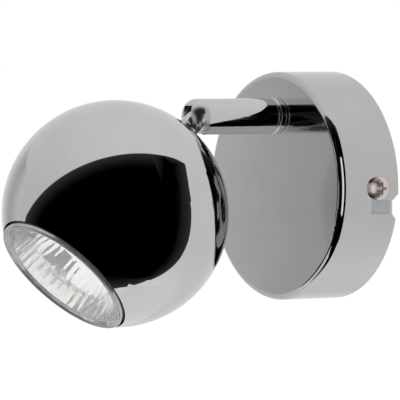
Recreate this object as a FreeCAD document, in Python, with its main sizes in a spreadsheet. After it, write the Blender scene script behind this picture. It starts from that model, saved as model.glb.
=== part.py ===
import FreeCAD, Part
import math
import os
import re
import Sketcher

# Pivoting spotlight wall light: a round canopy on a wall strap, a straight arm that
# swivels in the canopy, and a ball head that tilts in a slot in the arm's nose.
# Row frame: origin at the centre of the strap's back on the wall, +Z up, room towards -Y.
# Every group is drawn along its own axis (local z), then turned into place:
#   mount: z is the distance from the wall, x to the side, y up
#   arm:   the same, centred on the arm's axis
#   head:  z runs along the stem from the tilt pivot to the lamp, x is the pivot axis

Vector = FreeCAD.Vector

# A cutting shape passes the face it opens by this much, and joined solids lap by it.
CUTTER_RUN = "0.2"
# A bend takes this share of the shorter run beside it.
BEND_SHARE = 0.45
# Lengths that differ by less than this are the same, in mm.
SAME = 1e-3
# A swept lead has its section times its length as volume, to this share.
VOLUME_MATCH = 0.02

# name, value in mm (or degrees), what it is
SIZES = [
    ("canopy_diameter", 80, "outside of the canopy"),
    ("canopy_depth", 24.5, "canopy front face above the wall"),
    ("canopy_wall", 1.0, "sheet thickness of the canopy"),
    ("canopy_edge_radius", 2.2, "rounding of the canopy's front edge"),
    ("strap_width", 18.4, "width of the wall strap"),
    ("strap_thickness", 1.2, "sheet thickness of the wall strap"),
    ("strap_bend_radius", 0.5, "inside radius of the strap's bends"),
    ("strap_clearance", 0.25, "gap between the strap's tab corners and the canopy wall"),
    ("tab_height", 13.4, "height of the strap's bent tabs"),
    ("tab_corner_radius", 2.5, "rounding of the tabs' corners"),
    ("wall_slot_spacing", 50, "centre distance of the two wall screw slots"),
    ("wall_slot_length", 12, "end to end length of a wall screw slot"),
    ("wall_slot_width", 4.5, "width of a wall screw slot"),
    ("recess_reach", 0.55, "arm of a cross recess, as a share of the head's radius"),
    ("recess_width", 0.26, "width of a cross recess, as a share of the head's radius"),
    ("recess_depth", 0.4, "depth of a cross recess, as a share of the head's radius"),
    ("head_dome", 1.5, "dome radius of a screw head, as a share of its own radius"),
    ("side_screw_setback", 8.75, "side screw axis above the wall"),
    ("side_screw_diameter", 4, "thread of the side screws"),
    ("side_screw_length", 8, "length of the side screws under the head"),
    ("side_head_diameter", 8, "head of the side screws"),
    ("side_head_height", 2.6, "head height of the side screws"),
    ("notch_width", 4.85, "width of the canopy's bayonet notches"),
    ("notch_turn", 6.5, "turn of the canopy from the entry to the screw"),
    ("notch_chamfer", 2.0, "lead-in of the notches at the canopy's rim"),
    ("block_offset", 4, "terminal block centre beside the strap's centre"),
    ("pole_pitch", 9, "distance between two terminals"),
    ("block_height", 16, "terminal block along its bores"),
    ("block_depth", 12, "terminal block above the strap"),
    ("bore_setback", 4.8, "terminal bores above the strap"),
    ("clamp_diameter", 4.2, "outside of a brass clamp"),
    ("clamp_bore", 2.4, "bore of a brass clamp"),
    ("clamp_inset", 1.0, "clamp ends inside the block"),
    ("clamp_screw_diameter", 2.5, "terminal and block screws"),
    ("clamp_screw_length", 5.4, "length of a terminal screw"),
    ("clamp_screw_offset", 4, "terminal screws beside the block's centre line"),
    ("clamp_screw_gap", 0.4, "radial gap of the terminal screws in the block"),
    ("driver_slot_width", 0.5, "screwdriver slot of the terminal screws"),
    ("driver_slot_depth", 0.8, "screwdriver slot of the terminal screws"),
    ("screw_clearance", 0.1, "radial gap of a screw in its through hole"),
    ("screw_end_gap", 0.1, "strap screws end this far from the wall"),
    ("block_screw_head", 4.6, "head of the block's fixing screw"),
    ("block_head_height", 1.6, "head height of the block's fixing screw"),
    ("earth_screw_diameter", 4, "thread of the earth screw"),
    ("earth_head_diameter", 7, "head of the earth screw"),
    ("earth_head_height", 2.4, "head height of the earth screw"),
    ("earth_gap", 1.0, "earth lug clear of the terminal block"),
    ("lug_diameter", 7.2, "ring of the earth lug"),
    ("lug_thickness", 0.8, "sheet of the earth lug"),
    ("lug_barrel_length", 4.4, "crimp barrel of the earth lug"),
    ("lug_barrel_wall", 0.7, "wall of the crimp barrel"),
    ("lug_neck", 1.0, "neck between the lug's ring and its barrel"),
    ("lug_lap", 0.5, "neck under the barrel, and lead in the barrel"),
    ("washer_thickness", 0.6, "earth washer"),
    ("earth_lead_diameter", 1.6, "earth lead with its insulation"),
    ("lead_diameter", 1.1, "live and neutral leads with their insulation"),
    ("lead_gap", 0.05, "space between the two leads where they run side by side"),
    ("lead_start", 2.5, "lead ends inside the terminals"),
    ("lead_rise", 5.4, "live and neutral leads turn this far above the block"),
    ("earth_loop_rise", 9.0, "crest of the earth lead above the block"),
    ("arm_height", 24.6, "arm axis above the canopy's centre"),
    ("arm_diameter", 12.5, "outside of the arm"),
    ("pivot_reach", 57.0, "tilt pivot in front of the wall"),
    ("nose_length", 4.2, "arm's tip in front of the pivot"),
    ("nose_radius", 3.8, "rounding of the arm's tip"),
    ("foot_ring_thickness", 1.3, "ring between the canopy and the arm"),
    ("foot_ring_chamfer", 0.3, "edge of the foot ring"),
    ("foot_ring_clearance", 0.05, "radial gap of the foot ring on the nipple"),
    ("arm_bore", 9.0, "bore of the arm"),
    ("arm_bore_end", 8.0, "end of the bore behind the pivot"),
    ("arm_lead_hole", 4.0, "hole from the bore to the nose slot"),
    ("nipple_diameter", 10, "threaded nipple"),
    ("nipple_bore", 7.0, "hole through the nipple"),
    ("nipple_engagement", 9, "nipple inside the arm"),
    ("nipple_tail", 1.2, "nipple past its nut"),
    ("swivel_clearance", 0.1, "radial running gap of the nipple in the canopy"),
    ("friction_washer_thickness", 0.8, "swivel friction washer"),
    ("friction_washer_rim", 2.0, "friction washer beyond the nipple"),
    ("stop_washer_thickness", 1.0, "washer with the stop tab"),
    ("stop_washer_rim", 2.3, "stop washer beyond the nipple"),
    ("stop_tab_reach", 3.0, "stop tab beyond the washer"),
    ("stop_tab_width", 2.2, "width of the stop tab"),
    ("key_width", 1.5, "key tooth of the stop washer"),
    ("key_depth", 0.8, "depth of the key groove in the nipple"),
    ("stop_peg_diameter", 2.0, "peg inside the canopy that ends the swivel"),
    ("stop_peg_length", 2.6, "height of the stop peg"),
    ("spring_washer_thickness", 1.2, "swivel spring washer"),
    ("spring_washer_rim", 2.0, "spring washer beyond the nipple"),
    ("spring_washer_split", 1.0, "gap in the spring washer"),
    ("nipple_nut_flats", 14, "nipple nut across its flats"),
    ("nipple_nut_height", 3.0, "nipple nut"),
    ("bush_flange", 1.0, "thickness of the lead bush's rim"),
    ("bush_wall", 1.1, "wall of the lead bush"),
    ("bush_depth", 4.0, "lead bush inside the nipple"),
    ("sleeve_diameter", 4.0, "insulating sleeve in the arm"),
    ("sleeve_wall", 0.6, "wall of the sleeve"),
    ("tongue_thickness", 4.0, "tilt tongue across the slot"),
    ("tongue_width", 7.3, "tilt tongue along the slot"),
    ("tongue_gap", 2.4, "space between the tongue's cheeks for the leads"),
    ("slot_side_gap", 0.25, "slot wall to tongue, filled by the pivot washers"),
    ("slot_end_gap", 0.25, "slot ends to tongue, all round"),
    ("tilt_rest", 44.1, "stem below the arm's line in the stored position"),
    ("tilt_lowest", 79, "stem below the arm's line at the lower stop"),
    ("pivot_pin_diameter", 3.0, "tilt pivot pins"),
    ("pivot_clearance", 0.05, "radial running gap of the pins in the tongue"),
    ("pivot_washer_diameter", 6.4, "friction washers beside the tongue"),
    ("collar_start", 6.0, "stem collar from the pivot"),
    ("collar_diameter", 9.0, "stem collar"),
    ("stem_gap", 8.2, "ball's surface from the pivot"),
    ("stem_thread", 6.0, "thread of the stem"),
    ("stem_tail", 0.6, "stem past its nut"),
    ("stem_hole_clearance", 0.1, "radial gap of the stem in ball and bracket"),
    ("ball_diameter", 78, "outside of the ball head"),
    ("ball_wall", 0.9, "sheet thickness of the ball head"),
    ("seat_washer_diameter", 12, "domed washer inside the ball"),
    ("seat_washer_edge", 1.0, "edge thickness of the domed washer"),
    ("stem_nut_flats", 10, "stem nut across its flats"),
    ("stem_nut_height", 3.0, "stem nut"),
    ("bracket_thickness", 0.8, "sheet of the holder bracket"),
    ("bracket_width", 9.0, "width of the holder bracket"),
    ("bracket_half_span", 8.0, "holder bracket arms from the axis"),
    ("bracket_edge", 2.6, "flanges beyond the holder screws' axes"),
    ("holder_length", 28, "lamp holder across the lamp pins"),
    ("holder_width", 17, "lamp holder the other way"),
    ("holder_height", 10, "lamp holder along the lamp"),
    ("holder_corner_radius", 4, "corners of the lamp holder"),
    ("holder_screw_edge", 3, "holder screws' axes from the holder's ends"),
    ("holder_screw_diameter", 2.5, "thread of the holder screws"),
    ("holder_head_diameter", 4.6, "head of the holder screws"),
    ("holder_head_height", 1.8, "head height of the holder screws"),
    ("holder_screw_tail", 0.8, "holder screws past the bracket"),
    ("holder_screw_sink", 0.4, "holder screw heads below the holder's face"),
    ("holder_head_gap", 0.2, "radial gap of the holder screw heads"),
    ("holder_face_land", 1.6, "holder face over the pin chambers"),
    ("contact_thickness", 0.6, "spring contacts in the holder"),
    ("contact_diameter", 4.4, "spring contacts in the holder"),
    ("pin_spacing", 10, "lamp pins"),
    ("pin_length", 7.0, "lamp pins"),
    ("pin_neck", 3.2, "neck of the lamp pins"),
    ("pin_head", 5.0, "head of the lamp pins"),
    ("pin_head_height", 2.0, "head height of the lamp pins"),
    ("pin_clearance", 0.3, "radial gap round the pins in the holder"),
    ("lamp_turn", 20, "twist that locks the lamp in its holder"),
    ("lamp_diameter", 50.6, "front rim of the reflector lamp"),
    ("lamp_gap", 0.7, "radial gap between lamp and ball"),
    ("lamp_proud", 1.3, "lamp face in front of the ball's edge"),
    ("lamp_length", 45, "lamp from its face to its base"),
    ("lamp_rim_depth", 3.6, "cylindrical rim of the lamp"),
    ("bowl_diameter", 48.4, "reflector bowl behind the rim"),
    ("bowl_depth", 23, "reflector bowl behind the rim"),
    ("reflector_wall", 2.5, "glass between the mirrored cavity and the bowl's outside"),
    ("reflector_floor", 2.8, "glass behind the mirrored cavity"),
    ("rim_wall", 1.65, "lamp's rim round the front glass"),
    ("front_glass_thickness", 2.0, "front glass of the lamp"),
    ("front_glass_sink", 0.3, "front glass behind the lamp's face"),
    ("glass_fit", 0.05, "radial gap of the front glass in the rim"),
    ("reflector_neck", 16, "neck behind the bowl"),
    ("reflector_neck_length", 4, "neck behind the bowl"),
    ("burner_diameter", 9.2, "quartz burner"),
    ("burner_length", 15, "quartz burner in front of the neck"),
    ("base_foot_diameter", 19.2, "lamp base at the holder"),
    ("base_top_diameter", 22, "lamp base at the bowl"),
    ("base_overlap", 1.5, "lamp base round the bowl's foot"),
]

# worked out from the sizes above
DERIVED = {
    "canopy_radius": "canopy_diameter / 2",
    "canopy_inner_radius": "canopy_radius - canopy_wall",
    "canopy_inner_face": "canopy_depth - canopy_wall",
    "tab_reach": "sqrt((canopy_inner_radius - strap_clearance)^2 - (strap_width / 2)^2)",
    "block_half": "pole_pitch * 1.5",
    "bore_height": "strap_thickness + bore_setback",
    "block_front": "strap_thickness + block_depth",
    "earth_x": "block_offset - block_half - earth_gap - lug_diameter / 2",
    "lug_top": "strap_thickness + lug_thickness",
    "lug_barrel_radius": "earth_lead_diameter / 2 + lug_barrel_wall",
    "lug_barrel_start": "lug_diameter / 2 + lug_neck",
    "arm_foot": "canopy_depth + foot_ring_thickness",
    "arm_tip": "pivot_reach + nose_length",
    "nipple_end": "arm_foot + nipple_engagement",
    "friction_back": "canopy_inner_face - friction_washer_thickness",
    "stop_back": "friction_back - stop_washer_thickness",
    "spring_back": "stop_back - spring_washer_thickness",
    "nut_back": "spring_back - nipple_nut_height",
    "nipple_start": "nut_back - nipple_tail",
    "leads_meet": "nipple_start - bush_flange",
    "stop_radius": "nipple_diameter / 2 + stop_washer_rim + stop_tab_reach / 2",
    "tongue_radius": "tongue_width / 2",
    "slot_radius": "tongue_radius + slot_end_gap",
    "slot_half": "tongue_thickness / 2 + slot_side_gap",
    "lead_offset": "(lead_diameter + lead_gap) / 2",
    "lead_stop": "lead_diameter * 0.75",
    "ball_radius": "ball_diameter / 2",
    "ball_inner_radius": "ball_radius - ball_wall",
    "ball_centre": "stem_gap + ball_radius",
    "opening_radius": "lamp_diameter / 2 + lamp_gap",
    "lamp_face": "ball_centre + sqrt(ball_radius^2 - opening_radius^2) + lamp_proud",
    "seat_flat": "ball_centre - sqrt(ball_inner_radius^2 - (seat_washer_diameter / 2)^2) + seat_washer_edge",
    "stem_nut_start": "seat_flat + bracket_thickness",
    "stem_end": "stem_nut_start + stem_nut_height + stem_tail",
    "lamp_foot": "lamp_face - lamp_length",
    "holder_back": "lamp_foot - holder_height",
    "holder_screw_x": "holder_length / 2 - holder_screw_edge",
    "holder_seat": "lamp_foot - holder_head_height - holder_screw_sink",
    "chamber_floor": "lamp_foot - pin_length - contact_thickness",
    "pin_x": "pin_spacing / 2",
    "rim_back": "lamp_face - lamp_rim_depth",
    "glass_back": "lamp_face - front_glass_sink - front_glass_thickness",
    "bowl_back": "rim_back - bowl_depth",
    "front_glass_diameter": "lamp_diameter - (rim_wall + glass_fit) * 2",
    "cavity_diameter": "bowl_diameter - reflector_wall * 2",
    "cavity_depth": "glass_back - bowl_back - reflector_floor",
    "neck_back": "bowl_back - reflector_neck_length",
    "base_top": "bowl_back + base_overlap",
}

doc = FreeCAD.newDocument("PivotingSpotlight")
sheet = doc.addObject("Spreadsheet::Sheet", "Sizes")
for row, (alias, number, note) in enumerate(SIZES, 1):
    sheet.set(f"A{row}", note)
    sheet.set(f"B{row}", str(number))
    sheet.setAlias(f"B{row}", alias)
doc.recompute()

ALIASES = {alias for alias, number, note in SIZES}


def linked(text):
    """An expression on the sheet's cells, from one written with plain size names."""
    def cell(match):
        word = match.group(0)
        if word in DERIVED:
            return f"({linked(DERIVED[word])})"
        return f"Sizes.{word}" if word in ALIASES else word
    return re.sub(r"[a-z]\w*", cell, str(text))


def value(text):
    return float(sheet.evalExpression(linked(text)))


def bind(item, **expressions):
    for name, text in expressions.items():
        item.setExpression(name.replace("_", "."), linked(text))
    return item


# --- places of the three groups ---

MOUNT = FreeCAD.Placement(Vector(0, 0, 0), FreeCAD.Rotation(Vector(1, 0, 0), 90))
ARM = FreeCAD.Placement(Vector(0, 0, value("arm_height")), FreeCAD.Rotation(Vector(1, 0, 0), 90))
HEAD = FreeCAD.Placement(Vector(0, -value("pivot_reach"), value("arm_height")),
                         FreeCAD.Rotation(Vector(1, 0, 0), 90 + value("tilt_rest")))
TURNED_TO = {
    "z": FreeCAD.Rotation(),
    "x": FreeCAD.Rotation(Vector(0, 1, 0), 90),
    "-x": FreeCAD.Rotation(Vector(0, 1, 0), -90),
    "y": FreeCAD.Rotation(Vector(1, 0, 0), -90),
}

PARTS = []


def finish(item, label, place):
    """Name a finished sub-part and put it in its place."""
    item.Label = label
    item.Placement = place
    PARTS.append(item)
    return item


# --- primitives and booleans bound to the sheet ---

def located(item, x, y, z, along="z"):
    item.Placement = FreeCAD.Placement(Vector(), TURNED_TO[along])
    return bind(item, Placement_Base_x=x, Placement_Base_y=y, Placement_Base_z=z)


def cylinder(radius, height, x="0", y="0", z="0", along="z"):
    item = bind(doc.addObject("Part::Cylinder", "Cylinder"), Radius=radius, Height=height)
    return located(item, x, y, z, along)


def rod(radius, start, end, x="0", y="0"):
    """A cylinder along z between two heights."""
    return cylinder(radius, f"({end}) - ({start})", x, y, start)


def box(x, y, z):
    """A box between three pairs of planes."""
    item = doc.addObject("Part::Box", "Box")
    spans = [f"({high}) - ({low})" for low, high in (x, y, z)]
    bind(item, Length=spans[0], Width=spans[1], Height=spans[2])
    return located(item, x[0], y[0], z[0])


def cone(foot_radius, top_radius, start, end):
    item = doc.addObject("Part::Cone", "Cone")
    bind(item, Radius1=foot_radius, Radius2=top_radius, Height=f"({end}) - ({start})")
    return located(item, "0", "0", start)


def sphere(radius, x="0", y="0", z="0"):
    return located(bind(doc.addObject("Part::Sphere", "Sphere"), Radius=radius), x, y, z)


def half_ellipsoid(depth, radius, z):
    """The rounded half behind a plane at z, as deep as it says."""
    item = doc.addObject("Part::Ellipsoid", "Ellipsoid")
    item.Angle1 = -90
    item.Angle2 = 0
    return located(bind(item, Radius1=depth, Radius2=radius, Radius3=radius), "0", "0", z)


def hexagon(flats, height, z):
    item = doc.addObject("Part::Prism", "Prism")
    item.Polygon = 6
    bind(item, Circumradius=f"({flats}) / 2 / cos(30 deg)", Height=height)
    item.Placement = FreeCAD.Placement(Vector(), FreeCAD.Rotation(Vector(0, 0, 1), 30))
    return bind(item, Placement_Base_z=z)


def joined(*items):
    if len(items) == 1:
        return items[0]
    item = doc.addObject("Part::MultiFuse", "Fusion")
    item.Shapes = list(items)
    return item


def cut(base, *tools):
    item = doc.addObject("Part::Cut", "Cut")
    item.Base = base
    item.Tool = joined(*tools)
    return item


def common(base, tool):
    item = doc.addObject("Part::Common", "Common")
    item.Base = base
    item.Tool = tool
    return item


def group(items):
    """Identical separate pieces that share one node."""
    item = doc.addObject("Part::Compound", "Group")
    item.Links = items
    return item


def ring(radius, hole_radius, start, end):
    return cut(rod(radius, start, end), rod(hole_radius, start, end))


# --- sketched bodies ---

def new_body(name):
    return doc.addObject("PartDesign::Body", f"{name}_body")


def sketch_on(body, role):
    sketch = body.newObject("Sketcher::SketchObject", "Sketch")
    plane = next(item for item in body.Origin.OriginFeatures if item.Role == role)
    sketch.AttachmentSupport = (plane, [""])
    sketch.MapMode = "FlatFace"
    return sketch


def outline(sketch, corners):
    """A closed outline of straight lines through corners given as expressions."""
    points = [Vector(value(x), value(y), 0) for x, y in corners]
    first = sketch.GeometryCount
    count = len(points)
    for index, point in enumerate(points):
        sketch.addGeometry(Part.LineSegment(point, points[(index + 1) % count]), False)
    for index in range(count):
        following = first + (index + 1) % count
        sketch.addConstraint(Sketcher.Constraint("Coincident", first + index, 2, following, 1))
    for index, corner in enumerate(corners):
        for kind, text in zip(("DistanceX", "DistanceY"), corner):
            rule = Sketcher.Constraint(kind, -1, 1, first + index, 1, value(text))
            number = sketch.addConstraint(rule)
            sketch.setExpression(f"Constraints[{number}]", linked(text))
    return sketch


def rectangle(sketch, x, y):
    return outline(sketch, [(x[0], y[0]), (x[1], y[0]), (x[1], y[1]), (x[0], y[1])])


def circle(sketch, radius, x="0", y="0"):
    centre = Vector(value(x), value(y), 0)
    index = sketch.addGeometry(Part.Circle(centre, Vector(0, 0, 1), value(radius)), False)
    for kind, text in (("DistanceX", x), ("DistanceY", y)):
        number = sketch.addConstraint(Sketcher.Constraint(kind, -1, 1, index, 3, value(text)))
        sketch.setExpression(f"Constraints[{number}]", linked(text))
    number = sketch.addConstraint(Sketcher.Constraint("Radius", index, value(radius)))
    sketch.setExpression(f"Constraints[{number}]", linked(radius))
    return sketch


def revolve(body, sketch):
    feature = body.newObject("PartDesign::Revolution", "Revolution")
    feature.Profile = sketch
    feature.ReferenceAxis = (sketch, ["V_Axis"])
    feature.Angle = 360
    doc.recompute()
    return feature


def pad(body, sketch, length, both_sides=False, down=False):
    feature = body.newObject("PartDesign::Pad", "Pad")
    feature.Profile = sketch
    feature.SideType = "Symmetric" if both_sides else "One side"
    feature.Reversed = down
    bind(feature, Length=length)
    doc.recompute()
    return feature


def pocket(body, sketch, length, both_sides=False, up=True):
    """A pocket that has to remove something, towards the sketch's normal when up is set."""
    before = body.Shape.Volume
    feature = body.newObject("PartDesign::Pocket", "Pocket")
    feature.Profile = sketch
    feature.SideType = "Symmetric" if both_sides else "One side"
    feature.Reversed = up
    bind(feature, Length=length)
    doc.recompute()
    if body.Shape.Volume >= before:
        raise ValueError(f"a pocket in {body.Name} cuts nothing")
    return feature


def repeated(body, feature, kind, occurrences, axis, **extent):
    pattern = body.newObject(f"PartDesign::{kind}", kind)
    pattern.Originals = [feature]
    role = next(item for item in body.Origin.OriginFeatures if item.Role == axis)
    if kind == "PolarPattern":
        pattern.Axis = (role, [""])
    else:
        pattern.Direction = (role, [""])
    bind(pattern, **extent)
    pattern.Occurrences = occurrences
    body.Tip = pattern
    doc.recompute()
    return pattern


def rounded(body, test, radius, kind="Fillet"):
    """Fillet or chamfer the edges of the body that pass the test."""
    names = [f"Edge{number}" for number, edge in enumerate(body.Shape.Edges, 1) if test(edge)]
    if not names:
        raise ValueError(f"no edge to round in {body.Name}")
    base = body.Tip
    feature = body.newObject(f"PartDesign::{kind}", kind)
    feature.Base = (base, names)
    bind(feature, **{"Radius" if kind == "Fillet" else "Size": radius})
    doc.recompute()
    return feature


def circle_at(radius, z):
    """Picks the full circles of this radius at this height."""
    def test(edge):
        curve = edge.Curve
        return (isinstance(curve, Part.Circle) and abs(curve.Radius - value(radius)) < SAME
                and abs(curve.Center.z - value(z)) < SAME)
    return test


# --- wires with round bends ---

def bent_wire(points):
    """Straight runs joined by tangent arcs, each as large as its two runs allow."""
    edges = []
    start = points[0]
    for before, corner, after in zip(points, points[1:], points[2:]):
        arriving = (corner - before).normalize()
        leaving = (after - corner).normalize()
        half_turn = arriving.getAngle(leaving) / 2
        trim = BEND_SHARE * min((corner - before).Length, (after - corner).Length)
        radius = trim / math.tan(half_turn)
        entry = corner - arriving * trim
        away = corner + leaving * trim
        inward = (leaving - arriving).normalize()
        middle = corner + inward * (radius / math.cos(half_turn) - radius)
        edges.append(Part.LineSegment(start, entry).toShape())
        edges.append(Part.Arc(entry, middle, away).toShape())
        start = away
    edges.append(Part.LineSegment(start, points[-1]).toShape())
    return Part.Wire(edges)


def lead_along(corners, diameter):
    """One insulated lead through corners given as expressions."""
    points = [Vector(*[value(text) for text in corner]) for corner in corners]
    wire = bent_wire(points)
    section = Part.Wire(Part.Circle(points[0], points[1] - points[0], value(diameter) / 2).toShape())
    tube = wire.makePipeShell([section], True, False)
    expected = math.pi * (value(diameter) / 2) ** 2 * wire.Length
    if abs(tube.Volume / expected - 1) > VOLUME_MATCH:
        raise ValueError("a lead has the wrong volume")
    item = doc.addObject("Part::Feature", "Lead")
    item.Shape = tube
    return item


# --- fasteners ---

def cross_recess(head_radius, top):
    """Two crossed grooves to be cut in a screw head, from its top down."""
    arm = f"({head_radius}) * recess_reach"
    half = f"({head_radius}) * recess_width / 2"
    low = f"({top}) - ({head_radius}) * recess_depth"
    high = f"({top}) + {CUTTER_RUN}"
    return [box((f"-{arm}", arm), (f"-{half}", half), (low, high)),
            box((f"-{half}", half), (f"-{arm}", arm), (low, high))]


def domed_head(radius, height, z):
    """A screw head with a low dome, standing on z."""
    dome = f"({radius}) * head_dome"
    return common(rod(radius, z, f"({z}) + ({height})"),
                  sphere(dome, z=f"({z}) + ({height}) - ({dome})"))


def screw(thread_radius, end, seat, head_radius, head_height):
    """A cross-recess screw along z, its head's underside at seat."""
    body = joined(rod(thread_radius, end, f"({seat}) + {CUTTER_RUN}"),
                  domed_head(head_radius, head_height, seat))
    return cut(body, *cross_recess(head_radius, f"({seat}) + ({head_height})"))


def moved(item, x="0", y="0"):
    return bind(item, Placement_Base_x=x, Placement_Base_y=y)


# --- on the wall ---

def wall_bracket():
    """A strap with two bent tabs that carry the tapped side screw holes."""
    body = new_body("wall_bracket")
    inner = "tab_reach - strap_thickness"
    profile = [("-tab_reach", "0"), ("tab_reach", "0"), ("tab_reach", "tab_height"),
               (inner, "tab_height"), (inner, "strap_thickness"), (f"-({inner})", "strap_thickness"),
               (f"-({inner})", "tab_height"), ("-tab_reach", "tab_height")]
    pad(body, outline(sketch_on(body, "XZ_Plane"), profile), "strap_width", both_sides=True)

    def bend(x, z):
        return lambda edge: (abs(abs(edge.CenterOfMass.x) - value(x)) < SAME
                             and abs(edge.CenterOfMass.z - value(z)) < SAME
                             and abs(edge.CenterOfMass.y) < SAME)
    rounded(body, bend("tab_reach", "0"), "strap_bend_radius + strap_thickness")
    rounded(body, bend(inner, "strap_thickness"), "strap_bend_radius")

    def tab_corner(edge):
        centre = edge.CenterOfMass
        return (abs(edge.BoundBox.XLength - value("strap_thickness")) < SAME
                and abs(centre.z - value("tab_height")) < SAME)
    rounded(body, tab_corner, "tab_corner_radius")

    half = "wall_slot_width / 2"
    reach = "wall_slot_length / 2 - wall_slot_width / 2"
    for side in ("", "-"):
        middle = f"{side}(wall_slot_spacing / 2)"
        for end in ("+", "-"):
            pocket(body, circle(sketch_on(body, "XY_Plane"), half, f"{middle} {end} ({reach})"),
                   "strap_thickness")
        span = (f"{middle} - ({reach})", f"{middle} + ({reach})")
        pocket(body, rectangle(sketch_on(body, "XY_Plane"), span, (f"-({half})", half)), "strap_thickness")
    for radius, x in (("earth_screw_diameter / 2", "earth_x"),
                      ("clamp_screw_diameter / 2", "block_offset + pole_pitch / 2")):
        pocket(body, circle(sketch_on(body, "XY_Plane"), radius, x), "strap_thickness")
    pocket(body, circle(sketch_on(body, "YZ_Plane"), "side_screw_diameter / 2", "0", "side_screw_setback"),
           "canopy_diameter", both_sides=True)
    return finish(body, "wall_bracket", MOUNT)


def canopy():
    """A drawn cup with a hole for the arm and a bayonet notch on each side."""
    body = new_body("canopy")
    profile = [("0", "canopy_depth"), ("canopy_radius", "canopy_depth"), ("canopy_radius", "0"),
               ("canopy_inner_radius", "0"), ("canopy_inner_radius", "canopy_inner_face"),
               ("0", "canopy_inner_face")]
    revolve(body, outline(sketch_on(body, "XZ_Plane"), profile))
    rounded(body, circle_at("canopy_radius", "canopy_depth"), "canopy_edge_radius")
    rounded(body, circle_at("canopy_inner_radius", "canopy_inner_face"), "canopy_edge_radius - canopy_wall")
    pocket(body, circle(sketch_on(body, "XY_Plane"), "nipple_diameter / 2 + swivel_clearance", "0",
                        "arm_height"), "canopy_depth + canopy_wall")
    low = "-notch_turn - notch_width / 2"
    high = "-notch_turn + notch_width / 2"
    front = "side_screw_setback + notch_width / 2"
    back = "side_screw_setback - notch_width / 2"
    end = "notch_width / 2"
    under = f"-{CUTTER_RUN}"
    notch = [(f"{low} - notch_chamfer", under), (f"{low} - notch_chamfer", "0"), (low, "notch_chamfer"),
             (low, front), (end, front), (end, back), (high, back),
             (high, "notch_chamfer"), (f"{high} + notch_chamfer", "0"), (f"{high} + notch_chamfer", under)]
    cutter = pocket(body, outline(sketch_on(body, "YZ_Plane"), notch), "canopy_diameter")
    pattern = repeated(body, cutter, "PolarPattern", 2, "Z_Axis")
    pattern.Angle = 360
    return finish(body, "canopy", MOUNT)


def canopy_screws():
    """Two cross-recess screws, one through each notch into the strap's tab."""
    screws = []
    for along, sign in (("x", ""), ("-x", "-")):
        item = screw("side_screw_diameter / 2", "-side_screw_length", "0",
                     "side_head_diameter / 2", "side_head_height")
        item.Placement = FreeCAD.Placement(Vector(), TURNED_TO[along])
        bind(item, Placement_Base_x=f"{sign}canopy_radius", Placement_Base_z="side_screw_setback")
        screws.append(item)
    return finish(group(screws), "canopy_screws", MOUNT)


def stop_peg():
    """The peg on the canopy's inside that the arm's stop tab meets at both ends."""
    peg = rod("stop_peg_diameter / 2", "canopy_inner_face - stop_peg_length", "canopy_inner_face",
              "0", "-stop_radius")
    return finish(group([peg]), "stop_peg", ARM)


POLES = ("block_offset - pole_pitch", "block_offset", "block_offset + pole_pitch")


def terminal_block():
    """A three-pole block with through bores, screw holes and one fixing hole."""
    body = new_body("terminal_block")
    pad(body, rectangle(sketch_on(body, "XY_Plane"),
                        ("block_offset - block_half", "block_offset + block_half"),
                        ("-block_height / 2", "block_height / 2")), "block_front")
    foot = rectangle(sketch_on(body, "XY_Plane"),
                     ("block_offset - block_half", "block_offset + block_half"),
                     ("-block_height / 2", "block_height / 2"))
    pocket(body, foot, "strap_thickness")
    bore = pocket(body, circle(sketch_on(body, "XZ_Plane"), "clamp_diameter / 2", POLES[0], "bore_height"),
                  "block_height", both_sides=True)
    repeated(body, bore, "LinearPattern", 3, "X_Axis", Length="pole_pitch * 2")
    for side in ("", "-"):
        sketch = circle(sketch_on(body, "XY_Plane"), "clamp_screw_diameter / 2 + clamp_screw_gap", POLES[0],
                        f"{side}clamp_screw_offset")
        bind(sketch, AttachmentOffset_Base_z="bore_height")
        hole = pocket(body, sketch, "block_depth")
        repeated(body, hole, "LinearPattern", 3, "X_Axis", Length="pole_pitch * 2")
    pocket(body, circle(sketch_on(body, "XY_Plane"), "clamp_screw_diameter / 2 + screw_clearance",
                        "block_offset + pole_pitch / 2"), "block_front")
    return finish(body, "terminal_block", MOUNT)


def terminal_clamps():
    """A brass tube in each pole, tapped for its two screws."""
    clamps = []
    length = "block_height - clamp_inset * 2"
    for pole in POLES:
        start = f"-({length}) / 2"
        tube = cylinder("clamp_diameter / 2", length, pole, start, "bore_height", "y")
        bore = cylinder("clamp_bore / 2", length, pole, start, "bore_height", "y")
        taps = [rod("clamp_screw_diameter / 2", "bore_height", "block_front", pole, y)
                for y in ("clamp_screw_offset", "-clamp_screw_offset")]
        clamps.append(cut(tube, bore, *taps))
    return finish(group(clamps), "terminal_clamps", MOUNT)


def terminal_screws():
    """Slotted screws: those above hold the leads, those below stand open for the supply."""
    screws = []
    for pole, lead in zip(POLES, ("earth_lead_diameter", "lead_diameter", "lead_diameter")):
        for side, tip in (("", f"bore_height + {lead} / 2"), ("-", "bore_height + clamp_bore / 2")):
            y = f"{side}clamp_screw_offset"
            top = f"{tip} + clamp_screw_length"
            shank = rod("clamp_screw_diameter / 2", tip, top, pole, y)
            slot = box((f"{pole} - clamp_screw_diameter", f"{pole} + clamp_screw_diameter"),
                       (f"{y} - driver_slot_width / 2", f"{y} + driver_slot_width / 2"),
                       (f"{top} - driver_slot_depth", f"{top} + driver_slot_depth"))
            screws.append(cut(shank, slot))
    return finish(group(screws), "terminal_screws", MOUNT)


def block_screw():
    """The screw that holds the terminal block on the strap."""
    item = screw("clamp_screw_diameter / 2", "screw_end_gap", "block_front", "block_screw_head / 2",
                 "block_head_height")
    moved(item, "block_offset + pole_pitch / 2")
    return finish(group([item]), "block_screw", MOUNT)


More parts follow.
